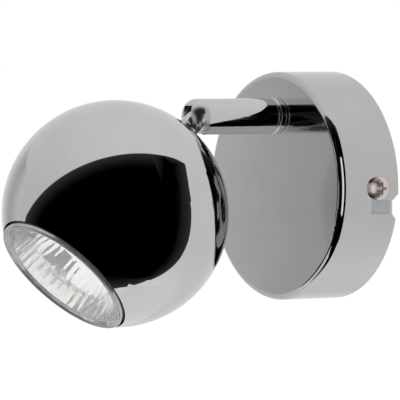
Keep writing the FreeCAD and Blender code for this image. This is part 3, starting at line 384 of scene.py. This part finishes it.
finishes = {}
grainLow, grainHigh = 0.3, 0.7  # the share of a noise that a finish spreads over its own range


def newFinish(name, **sockets):
    material = bpy.data.materials.new(name)
    material.use_nodes = True
    tree = material.node_tree
    shader = tree.nodes["Principled BSDF"]
    for socket, setting in sockets.items():
        shader.inputs[socket.replace("_", " ")].default_value = setting
    finishes[name] = material
    return tree, shader


def objectSpace(tree, scale=(1, 1, 1), turn=(0, 0, 0)):
    place = addNode(tree, "ShaderNodeTexCoord").outputs["Object"]
    node = addNode(tree, "ShaderNodeMapping", {"Vector": place, "Scale": scale, "Rotation": turn})
    return node.outputs[0]


def noise(tree, where, scale):
    return addNode(tree, "ShaderNodeTexNoise", {"Vector": where, "Scale": scale, "Detail": 4.0,
                                                "Roughness": 0.55}).outputs["Fac"]


def tint(tree, fac, dark, light):
    ramp = addNode(tree, "ShaderNodeValToRGB", {"Fac": fac})
    ramp.color_ramp.elements[0].color = (*dark, 1)
    ramp.color_ramp.elements[1].color = (*light, 1)
    ramp.color_ramp.elements[0].position = grainLow
    ramp.color_ramp.elements[1].position = grainHigh
    return ramp.outputs[0]


def relief(tree, shader, height, distance):
    bump = addNode(tree, "ShaderNodeBump", {"Height": height, "Distance": distance, "Strength": 1.0})
    tree.links.new(bump.outputs[0], shader.inputs["Normal"])


def spread(tree, fine, low, high):
    return remap(tree, fine, grainLow, grainHigh, low, high)


def grainy(name, dark, light, grain, rough, bumpDepth, stretch=(1, 1, 1), **sockets):
    # dark and light are the two ends of the colour, rough the two ends of the roughness
    tree, shader = newFinish(name, **sockets)
    fine = noise(tree, objectSpace(tree, stretch), grain)
    tree.links.new(tint(tree, fine, dark, light), shader.inputs["Base Color"])
    tree.links.new(spread(tree, fine, *rough), shader.inputs["Roughness"])
    relief(tree, shader, fine, bumpDepth)
    return tree, shader


def metal(*settings, metallic=1.0, **more):
    return grainy(*settings, Metallic=metallic, **more)


armLook = {
    "noseFrom": -0.0548,  # the nose is duller than the rest of the arm
    "noseTo": -0.0566,
    "noseRough": 0.26,
    "lines": ((-0.02670, 0.00042), (-0.02545, 0.00036)),  # painted highlights: two pale lines round the foot ring, standing in for the light its rounded edges catch: place, half width
    "highlightFade": 0.6,
    "highlightRough": 0.30,
    "highlightColour": (0.80, 0.72, 0.69, 1),
}

canopyLook = {
    "frontFrom": -0.0243,  # the front is a little duller than the side
    "frontTo": -0.0245,
    "frontRough": 0.02,
}


def alongY(tree):
    place = addNode(tree, "ShaderNodeTexCoord").outputs["Object"]
    return addNode(tree, "ShaderNodeSeparateXYZ", {0: place}).outputs["Y"]


def rougher(tree, shader, extra):
    fine = shader.inputs["Roughness"].links[0].from_socket
    tree.links.new(calc(tree, "ADD", fine, extra), shader.inputs["Roughness"])


def armChrome(s):
    tree, shader = metal("armChrome", (0.540, 0.540, 0.540), (0.565, 0.563, 0.56), 90, (0.012, 0.03), 0.0)
    y = alongY(tree)
    onNose = remap(tree, y, s["noseFrom"], s["noseTo"], 0.0, s["noseRough"], smooth=True)
    # painted highlight: two bands round the foot ring are made paler and rougher, standing in for light on its
    # rounded edges
    paintedHighlight = 0.0
    for place, width in s["lines"]:
        away = calc(tree, "ABSOLUTE", calc(tree, "SUBTRACT", y, place))
        here = remap(tree, away, width, width * s["highlightFade"], 0.0, 1.0, smooth=True)
        paintedHighlight = calc(tree, "ADD", paintedHighlight, here)
    rougher(tree, shader, calc(tree, "MULTIPLY_ADD", paintedHighlight, s["highlightRough"], onNose))
    # the painted highlight's paler colour is mixed into the chrome here
    plain = shader.inputs["Base Color"].links[0].from_socket
    tree.links.new(blendColour(tree, paintedHighlight, plain, s["highlightColour"]), shader.inputs["Base Color"])


def canopyChrome(s):
    tree, shader = metal("canopyChrome", (0.478, 0.472, 0.464), (0.50, 0.498, 0.494), 60, (0.05, 0.08), 0.000002)
    onFront = remap(tree, alongY(tree), s["frontFrom"], s["frontTo"], 0.0, s["frontRough"], smooth=True)
    rougher(tree, shader, onFront)


metal("polishedChrome", (0.540, 0.540, 0.540), (0.560, 0.560, 0.560), 90, (0.012, 0.03), 0.0)
armChrome(armLook)
metal("stemChrome", (0.50, 0.49, 0.485), (0.60, 0.59, 0.585), 400, (0.16, 0.30), 0.00002)
canopyChrome(canopyLook)
metal("nickelSteel", (0.62, 0.55, 0.51), (0.74, 0.67, 0.63), 900, (0.30, 0.42), 0.00001)
metal("zincSteel", (0.50, 0.51, 0.53), (0.62, 0.63, 0.65), 500, (0.20, 0.36), 0.00001)
metal("bracketSteel", (0.48, 0.49, 0.50), (0.60, 0.61, 0.62), 300, (0.22, 0.40), 0.00001, stretch=(0.1, 1, 1))
metal("springSteel", (0.10, 0.10, 0.11), (0.20, 0.20, 0.21), 400, (0.25, 0.45), 0.00001)
metal("terminalBrass", (0.62, 0.46, 0.20), (0.78, 0.60, 0.28), 500, (0.18, 0.32), 0.00001)
metal("lugBrass", (0.56, 0.50, 0.38), (0.68, 0.62, 0.48), 600, (0.22, 0.38), 0.00001)
metal("contactBrass", (0.60, 0.48, 0.25), (0.74, 0.60, 0.34), 500, (0.2, 0.35), 0.00001)
metal("filament", (0.16, 0.16, 0.17), (0.30, 0.30, 0.31), 900, (0.3, 0.45), 0.00001)
metal("pinMetal", (0.58, 0.57, 0.54), (0.70, 0.69, 0.66), 500, (0.16, 0.3), 0.00001)
metal("lampMirror", (0.84, 0.84, 0.82), (0.91, 0.91, 0.89), 250, (0.02, 0.05), 0.0)
metal("lampRim", (0.34, 0.34, 0.33), (0.52, 0.52, 0.51), 220, (0.08, 0.16), 0.00001, metallic=0.8)
grainy("terminalPlastic", (0.74, 0.72, 0.64), (0.82, 0.80, 0.73), 700, (0.38, 0.52), 0.00003)
grainy("bushPlastic", (0.72, 0.72, 0.69), (0.80, 0.80, 0.77), 700, (0.35, 0.5), 0.00002)
grainy("washerPlastic", (0.03, 0.03, 0.032), (0.05, 0.05, 0.052), 800, (0.4, 0.55), 0.00002)
grainy("sleevePlastic", (0.70, 0.67, 0.58), (0.80, 0.77, 0.69), 1500, (0.6, 0.8), 0.00006)
grainy("neutralInsulation", (0.03, 0.10, 0.36), (0.05, 0.14, 0.44), 900, (0.28, 0.4), 0.00002)
grainy("liveInsulation", (0.13, 0.055, 0.022), (0.18, 0.08, 0.035), 900, (0.28, 0.4), 0.00002)
grainy("holderCeramic", (0.70, 0.68, 0.62), (0.80, 0.78, 0.73), 1200, (0.6, 0.85), 0.00006)
grainy("lampCeramic", (0.74, 0.73, 0.69), (0.84, 0.83, 0.80), 1400, (0.55, 0.8), 0.00005)


stripes = {
    "scale": 95.0,
    "tilt": 0.5,
    "edges": (0.46, 0.54),
    "green": (0.05, 0.22, 0.05, 1),
    "yellow": (0.72, 0.62, 0.06, 1),
    "grain": 900,
    "bumpDepth": 0.00002,
    "rough": 0.34,
}

frontGlass = {"colour": (0.98, 0.99, 0.99, 1), "clear": 1.0, "index": 1.47, "grain": 60, "rough": (0.0, 0.015),
              "bumpDepth": 0.000004}
capsuleGlass = {"colour": (0.97, 0.97, 0.96, 1), "clear": 0.55, "index": 1.46, "grain": 300, "rough": (0.02, 0.10),
                "bumpDepth": 0.0004}


def stripedInsulation(s):
    tree, shader = newFinish("earthInsulation", Roughness=s["rough"])
    where = objectSpace(tree, (1, 1, 1), (0, s["tilt"], 0))
    wave = addNode(tree, "ShaderNodeTexWave", {"Vector": where, "Scale": s["scale"], "Distortion": 0.0},
                   wave_type="BANDS", bands_direction="X", wave_profile="SIN").outputs["Fac"]
    fine = noise(tree, where, s["grain"])
    step = remap(tree, wave, *s["edges"], 0.0, 1.0)
    tree.links.new(blendColour(tree, step, s["green"], s["yellow"]), shader.inputs["Base Color"])
    relief(tree, shader, fine, s["bumpDepth"])


def glass(name, s):
    tree, shader = newFinish(name, Base_Color=s["colour"], Transmission_Weight=s["clear"], IOR=s["index"])
    fine = noise(tree, objectSpace(tree), s["grain"])
    tree.links.new(spread(tree, fine, *s["rough"]), shader.inputs["Roughness"])
    relief(tree, shader, fine, s["bumpDepth"])


stripedInsulation(stripes)
glass("clearGlass", frontGlass)
glass("burnerGlass", capsuleGlass)
print("finishes mixed:", len(finishes))

nodeFinishes = {
    "polishedChrome": ["ball_shell"],
    "armChrome": ["arm_tube", "foot_ring"],
    "stemChrome": ["pivot_pins", "tilt_stem"],
    "canopyChrome": ["canopy"],
    "nickelSteel": ["canopy_screws"],
    "zincSteel": ["terminal_screws", "block_screw", "earth_screw", "earth_washer", "threaded_nipple",
                  "stop_washer", "nipple_nut", "seat_washer", "stem_nut", "holder_screws"],
    "bracketSteel": ["wall_bracket", "holder_bracket", "stop_peg"],
    "springSteel": ["swivel_spring_washer"],
    "terminalBrass": ["terminal_clamps"],
    "lugBrass": ["earth_lug"],
    "contactBrass": ["holder_contacts"],
    "pinMetal": ["lamp_pins"],
    "lampMirror": ["lamp_reflector"],
    "terminalPlastic": ["terminal_block"],
    "bushPlastic": ["nipple_bush"],
    "washerPlastic": ["swivel_friction_washer", "pivot_washers"],
    "sleevePlastic": ["lead_sleeve"],
    "neutralInsulation": ["neutral_lead_canopy", "neutral_lead_arm", "neutral_lead_head"],
    "liveInsulation": ["live_lead_canopy", "live_lead_arm", "live_lead_head"],
    "earthInsulation": ["earth_lead"],
    "holderCeramic": ["lamp_holder"],
    "lampCeramic": ["lamp_base"],
    "clearGlass": ["lamp_front_glass"],
    "burnerGlass": ["lamp_burner"],
}


def linkPiece(name, mesh, finish, body):
    piece = bpy.data.objects.new(name, mesh)
    bpy.context.scene.collection.objects.link(piece)
    mesh.materials.clear()
    mesh.materials.append(finishes[finish])
    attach(piece, body)
    return piece


def lathe(name, profile, segments, sharpAngle, place):
    # an open profile of (radius, height) pairs, turned about local z
    mesh = bpy.data.meshes.new(name)
    grid = bmesh.new()
    columns = []
    for step in range(segments):
        angle = 2 * math.pi * step / segments
        columns.append([grid.verts.new((r * math.cos(angle), r * math.sin(angle), z)) for r, z in profile])
    for step in range(segments):
        here, there = columns[step], columns[(step + 1) % segments]
        for row in range(len(profile) - 1):
            grid.faces.new((here[row], there[row], there[row + 1], here[row + 1]))
    bmesh.ops.remove_doubles(grid, verts=grid.verts, dist=1e-7)
    bmesh.ops.recalc_face_normals(grid, faces=grid.faces)
    bmesh.ops.transform(grid, matrix=place, verts=grid.verts)
    grid.to_mesh(mesh)
    grid.free()
    mesh.shade_smooth()
    mesh.set_sharp_from_angle(angle=math.radians(sharpAngle))
    return mesh


def arc(centre, radius, start, end, steps):
    turns = [math.radians(start + (end - start) * step / steps) for step in range(steps + 1)]
    return [(centre[0] + radius * math.cos(turn), centre[1] + radius * math.sin(turn)) for turn in turns]


lampSizes = {
    # the shell's outline, from the rim's face inwards and back
    "rimRadius": 0.0253,
    "rimDepth": 0.0036,
    "rimRounding": 0.0005,
    "groove": 0.00025,
    "seatRadius": 0.02365,
    "seatDepth": 0.0023,
    "bowlRadius": 0.0242,
    "bowlDepth": 0.023,
    "neckRadius": 0.008,
    "neckLength": 0.004,
    "neckHole": 0.0046,
    "mouthRadius": 0.0217,
    "cavityDepth": 0.0215,
    "neckReach": 0.977,  # share of the cavity's depth where the neck's hole ends
    "segments": 160,
    "bowlSteps": 24,
    "beadSteps": 8,
    "roundingSteps": 5,
    "shellSharp": 28,
    # the facets of its mirrored inside
    "flutes": 52,
    "rows": 4,
    "pillow": 0.00010,
    "facetSharp": 9,
}


def groupInputs(tree, sizes):
    for label, (kind, setting) in sizes.items():
        tree.interface.new_socket(label, in_out="INPUT", socket_type=kind).default_value = setting
    tree.interface.new_socket("Geometry", in_out="OUTPUT", socket_type="NodeSocketGeometry")
    return addNode(tree, "NodeGroupInput").outputs


def growMesh(name, tree, settings):
    # runs a Geometry Nodes tree with its named inputs and keeps the plain mesh
    holder = bpy.data.objects.new(name, bpy.data.meshes.new(name + "Seed"))
    bpy.context.scene.collection.objects.link(holder)
    modifier = holder.modifiers.new(name, "NODES")
    modifier.node_group = tree
    for item in tree.interface.items_tree:
        if item.in_out == "INPUT" and item.name in settings:
            modifier[item.identifier] = settings[item.name]
    grown = bpy.data.meshes.new_from_object(holder.evaluated_get(bpy.context.evaluated_depsgraph_get()))
    grown.name = name
    holder.modifiers.remove(modifier)
    bpy.data.objects.remove(holder)
    return grown


def dressedOutput(tree, geometry, finish):
    real = addNode(tree, "GeometryNodeRealizeInstances", {"Geometry": geometry}).outputs[0]
    dressed = addNode(tree, "GeometryNodeSetMaterial", {"Geometry": real, "Material": finishes[finish]}).outputs[0]
    addNode(tree, "NodeGroupOutput", {"Geometry": dressed})


def facetTree(finish):
    # a grid bent into the mirrored cavity, each cell a shallow pillow, every other row set half a cell on
    tree = bpy.data.node_groups.new("reflectorFacets", "GeometryNodeTree")
    sizes = groupInputs(tree, {
        "Flutes": ("NodeSocketInt", 36), "Rows": ("NodeSocketInt", 5), "Mouth Radius": ("NodeSocketFloat", 0.02),
        "Depth": ("NodeSocketFloat", 0.02), "Neck Radius": ("NodeSocketFloat", 0.005),
        "Pillow": ("NodeSocketFloat", 0.0002), "Mouth Height": ("NodeSocketFloat", 0.0),
    })
    across, down = 6, 4  # mesh faces in one cell
    lastRow = 0.001  # keeps the grid's far edge in the last row
    ridge = 0.35  # how much of a flute's rise is left between two rows
    columns = calc(tree, "MULTIPLY_ADD", sizes["Flutes"], across, 1)
    lines = calc(tree, "MULTIPLY_ADD", sizes["Rows"], down, 1)
    grid = addNode(tree, "GeometryNodeMeshGrid", {"Size X": 1.0, "Size Y": 1.0, "Vertices X": columns,
                                                  "Vertices Y": lines})
    place = addNode(tree, "GeometryNodeInputPosition").outputs[0]
    axes = addNode(tree, "ShaderNodeSeparateXYZ", {0: place}).outputs
    u = calc(tree, "MULTIPLY", calc(tree, "ADD", axes["X"], 0.5), sizes["Flutes"])
    v = calc(tree, "MULTIPLY", calc(tree, "ADD", axes["Y"], 0.5), sizes["Rows"])
    inCell = calc(tree, "MINIMUM", v, calc(tree, "SUBTRACT", sizes["Rows"], lastRow))
    row = calc(tree, "FLOOR", inCell)
    shift = calc(tree, "MULTIPLY", calc(tree, "MODULO", row, 2.0), 0.5)
    cellU = calc(tree, "FRACT", calc(tree, "ADD", u, shift))
    cellV = calc(tree, "FRACT", v)
    bumpU = calc(tree, "SINE", calc(tree, "MULTIPLY", cellU, math.pi))
    bumpV = calc(tree, "SINE", calc(tree, "MULTIPLY", cellV, math.pi))
    rise = calc(tree, "MULTIPLY", bumpU, calc(tree, "ADD", bumpV, ridge))
    rise = calc(tree, "MULTIPLY", rise, sizes["Pillow"])
    share = calc(tree, "DIVIDE", v, sizes["Rows"])
    ratio = calc(tree, "DIVIDE", sizes["Neck Radius"], sizes["Mouth Radius"])
    low = calc(tree, "ARCSINE", ratio)
    slope = calc(tree, "MULTIPLY_ADD", share, calc(tree, "SUBTRACT", math.pi / 2, low), low)
    radius = calc(tree, "MULTIPLY", calc(tree, "SINE", slope), calc(tree, "SUBTRACT", sizes["Mouth Radius"], rise))
    height = calc(tree, "MULTIPLY", calc(tree, "COSINE", slope), calc(tree, "SUBTRACT", sizes["Depth"], rise))
    turn = calc(tree, "MULTIPLY", calc(tree, "DIVIDE", u, sizes["Flutes"]), 2 * math.pi)
    x = calc(tree, "MULTIPLY", radius, calc(tree, "COSINE", turn))
    y = calc(tree, "MULTIPLY", radius, calc(tree, "SINE", turn))
    z = calc(tree, "SUBTRACT", sizes["Mouth Height"], height)
    bent = addNode(tree, "ShaderNodeCombineXYZ", {0: x, 1: y, 2: z}).outputs[0]
    moved = addNode(tree, "GeometryNodeSetPosition", {"Geometry": grid.outputs[0], "Position": bent}).outputs[0]
    merged = addNode(tree, "GeometryNodeMergeByDistance", {"Geometry": moved, "Distance": 1e-6}).outputs[0]
    dressedOutput(tree, merged, finish)
    return tree


coilSizes = {
    "turns": 15,
    "coilRadius": 0.00085,
    "wire": 0.00016,
    "halfSpan": 0.0026,
    "fromGlassTip": 0.0050,
    "legLength": 0.0075,
}


def straight(tree, start, end):
    return addNode(tree, "GeometryNodeCurvePrimitiveLine", {"Start": start, "End": end}).outputs[0]


def coilTree(finish):
    # the lamp's wound filament, with a straight leg down from each end
    tree = bpy.data.node_groups.new("burnerCoil", "GeometryNodeTree")
    sizes = groupInputs(tree, {
        "Turns": ("NodeSocketInt", 12), "Coil Radius": ("NodeSocketFloat", 0.001),
        "Wire": ("NodeSocketFloat", 0.0002), "Half Span": ("NodeSocketFloat", 0.003),
        "Height": ("NodeSocketFloat", 0.05), "Leg": ("NodeSocketFloat", 0.007),
    })
    stepsPerTurn, wireSides = 12, 6
    steps = calc(tree, "MULTIPLY_ADD", sizes["Turns"], stepsPerTurn, 1)
    path = straight(tree, (0, 0, 0), (1, 0, 0))
    path = addNode(tree, "GeometryNodeResampleCurve", {"Curve": path, "Count": steps}).outputs[0]
    share = addNode(tree, "GeometryNodeSplineParameter").outputs["Factor"]
    turn = calc(tree, "MULTIPLY", calc(tree, "MULTIPLY", share, sizes["Turns"]), 2 * math.pi)
    x = calc(tree, "MULTIPLY", calc(tree, "MULTIPLY_ADD", share, 2.0, -1.0), sizes["Half Span"])
    y = calc(tree, "MULTIPLY", calc(tree, "SINE", turn), sizes["Coil Radius"])
    z = calc(tree, "MULTIPLY_ADD", calc(tree, "COSINE", turn), sizes["Coil Radius"], sizes["Height"])
    wound = addNode(tree, "ShaderNodeCombineXYZ", {0: x, 1: y, 2: z}).outputs[0]
    path = addNode(tree, "GeometryNodeSetPosition", {"Geometry": path, "Position": wound}).outputs[0]
    wire = addNode(tree, "GeometryNodeCurvePrimitiveCircle", {"Resolution": wireSides, "Radius": sizes["Wire"]})
    top = calc(tree, "ADD", sizes["Height"], sizes["Coil Radius"])
    parts = [path]
    for side in (-1.0, 1.0):
        across = calc(tree, "MULTIPLY", sizes["Half Span"], side)
        high = addNode(tree, "ShaderNodeCombineXYZ", {0: across, 2: top}).outputs[0]
        foot = calc(tree, "SUBTRACT", top, sizes["Leg"])
        low = addNode(tree, "ShaderNodeCombineXYZ", {0: across, 2: foot}).outputs[0]
        parts.append(straight(tree, high, low))
    joined = addNode(tree, "GeometryNodeJoinGeometry")
    for part in parts:
        body = addNode(tree, "GeometryNodeCurveToMesh", {"Curve": part, "Profile Curve": wire.outputs[0],
                                                         "Fill Caps": True})
        tree.links.new(body.outputs[0], joined.inputs[0])
    dressedOutput(tree, joined.outputs[0], finish)
    return tree


def makeCoil(c):
    burner = nodes["lamp_burner"]
    toHead = headPlace.inverted()
    tip = max((toHead @ (burner.matrix_world @ corner.co)).z for corner in burner.data.vertices)
    coil = growMesh("burnerCoil", coilTree("filament"), {
        "Turns": c["turns"], "Coil Radius": c["coilRadius"], "Wire": c["wire"], "Half Span": c["halfSpan"],
        "Height": tip - c["fromGlassTip"], "Leg": c["legLength"]})
    coil.transform(headPlace)
    coil.shade_smooth()
    piece = linkPiece("burnerCoil", coil, "filament", "head")


def makeFacets(s):
    facets = growMesh("lampFacets", facetTree("lampMirror"), {
        "Flutes": s["flutes"], "Rows": s["rows"], "Mouth Radius": s["mouthRadius"], "Depth": s["cavityDepth"],
        "Neck Radius": s["neckHole"], "Pillow": s["pillow"], "Mouth Height": lampFace - s["seatDepth"]})
    facets.transform(headPlace)
    facets.shade_smooth()
    facets.set_sharp_from_angle(angle=math.radians(s["facetSharp"]))
    mirror = linkPiece("lampFacets", facets, "lampMirror", "head")


def bowlOutline(s, back):
    bowl = []
    for step in range(s["bowlSteps"] + 1):
        slope = math.radians(90 - step * 90 / s["bowlSteps"])
        radius = s["bowlRadius"] * math.sin(slope)
        if radius < s["neckRadius"]:
            break
        bowl.append((radius, back - s["bowlDepth"] * math.cos(slope)))
    return bowl


def makeShell(s):
    seat = lampFace - s["seatDepth"]
    back = lampFace - s["rimDepth"]
    foot = back - s["bowlDepth"] - s["neckLength"]
    rounding = s["rimRounding"]
    bead = (s["rimRadius"] - s["seatRadius"] - s["groove"]) / 4
    crest = lampFace - bead
    outline = [(s["mouthRadius"], seat), (s["seatRadius"], seat), (s["seatRadius"], crest)]
    outline += arc((s["seatRadius"] + bead, crest), bead, 180, 0, s["beadSteps"])[1:]
    outline += arc((s["rimRadius"] - bead, crest), bead, 180, 0, s["beadSteps"])
    outline += arc((s["rimRadius"] - rounding, back + rounding), rounding, 0, -90, s["roundingSteps"])
    outline += bowlOutline(s, back)
    outline += [(s["neckRadius"], foot), (s["neckHole"], foot)]
    outline.append((s["neckHole"], seat - s["cavityDepth"] * s["neckReach"]))
    shell = lathe("lampShell", outline, s["segments"], s["shellSharp"], headPlace)
    body = linkPiece("lampShell", shell, "lampRim", "head")
    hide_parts("lamp_reflector")


def dressNodes():
    for finish, names in nodeFinishes.items():
        for name in names:
            slots = nodes[name].data.materials
            slots.clear()
            slots.append(finishes[finish])
    print("CAD nodes dressed:", sum(len(names) for names in nodeFinishes.values()))


dressNodes()
makeFacets(lampSizes)
makeShell(lampSizes)
print("lamp shell and facets made")
makeCoil(coilSizes)
print("filament wound")
